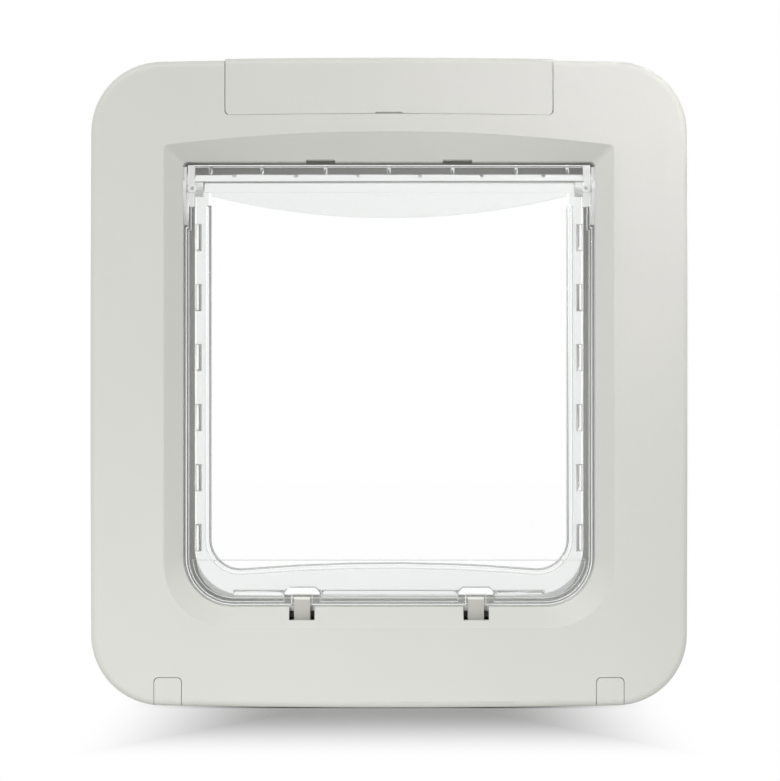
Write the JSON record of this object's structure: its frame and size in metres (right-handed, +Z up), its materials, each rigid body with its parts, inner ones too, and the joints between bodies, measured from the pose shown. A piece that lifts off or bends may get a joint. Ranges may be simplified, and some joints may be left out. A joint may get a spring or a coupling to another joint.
{
  "type": "microchip pet door",
  "caption": "Through-door pet flap with a moulded frame, clear hinged flap, lock tongues, chip reader coil, battery bay and outdoor frame.",
  "frame": {"origin": "centre of the door cut-out, in the plane of the door's room-side face", "axes": "+Z up, +Y outdoors through the tunnel, +X to the right as seen from the room"},
  "size_m": [0.262, 0.086, 0.2853],
  "materials": {
    "body_plastic": "satin",
    "tunnel_plastic": "satin",
    "clear_plastic": "gloss",
    "latch_plastic": "satin",
    "inner_plastic": "matte",
    "gear_plastic": "satin",
    "steel": "satin",
    "cell_wrap": "gloss",
    "coil_tape": "satin",
    "board": "satin",
    "chips": "matte",
    "display_screen": "gloss",
    "button_rubber": "matte"
  },
  "bodies": {
    "housing": {"front_frame": "body_plastic", "rear_cover": "body_plastic", "tunnel": "tunnel_plastic", "exterior_frame": "body_plastic", "reader_coil": "coil_tape", "hinge_bracket_left": "clear_plastic", "hinge_bracket_right": "clear_plastic", "hinge_pins": "steel", "lock_chassis": "inner_plastic", "lock_motor": "steel", "control_board": "board", "board_components": "chips", "board_screws": "steel", "chassis_screws": "steel", "case_screws": "steel", "fixing_screws": "steel", "battery_tray": "inner_plastic", "battery_cell_1": "cell_wrap", "battery_cell_2": "cell_wrap", "battery_cell_3": "cell_wrap", "battery_cell_4": "cell_wrap", "battery_contacts": "steel", "button_panel": "inner_plastic", "display": "display_screen", "button_board": "board"},
    "flap": {"flap": "clear_plastic"},
    "lock": {"lock_bar": "latch_plastic", "latch_left": "latch_plastic", "latch_right": "latch_plastic"},
    "pinion": {"lock_pinion": "gear_plastic", "motor_shaft": "steel"},
    "battery_cover": {"battery_cover": "body_plastic"},
    "screw_cover_left": {"screw_cover_left": "body_plastic"},
    "screw_cover_right": {"screw_cover_right": "body_plastic"},
    "memory_button": {"memory_button": "button_rubber"},
    "settings_button": {"settings_button": "button_rubber"}
  },
  "joints": [
    {"name": "flap_hinge", "type": "hinge", "parent": "housing", "child": "flap", "pos_m": [0, -0.023, 0.086], "axis": [1, 0, 0], "range_deg": [0, 85]},
    {"name": "lock_slide", "type": "slide", "parent": "housing", "child": "lock", "axis": [0, 0, -1], "range_m": [0, 0.006]},
    {"name": "pinion_spin", "type": "hinge", "parent": "housing", "child": "pinion", "pos_m": [0.014, -0.0188, -0.127], "axis": [1, 0, 0], "range_deg": [0, 72]},
    {"name": "battery_cover_pull", "type": "slide", "parent": "housing", "child": "battery_cover", "axis": [0, -1, 0], "range_m": [0, 0.035]},
    {"name": "screw_cover_left_pull", "type": "slide", "parent": "housing", "child": "screw_cover_left", "axis": [0, -1, 0], "range_m": [0, 0.025]},
    {"name": "screw_cover_right_pull", "type": "slide", "parent": "housing", "child": "screw_cover_right", "axis": [0, -1, 0], "range_m": [0, 0.025]},
    {"name": "memory_button_press", "type": "slide", "parent": "housing", "child": "memory_button", "axis": [0, 1, 0], "range_m": [0, 0.0008], "stiffness_N_per_m": 400},
    {"name": "settings_button_press", "type": "slide", "parent": "housing", "child": "settings_button", "axis": [0, 1, 0], "range_m": [0, 0.0008], "stiffness_N_per_m": 400}
  ],
  "couplings": [
    {"joint": "pinion_spin", "follows": "lock_slide", "rad_per_m": 208.33}
  ]
}
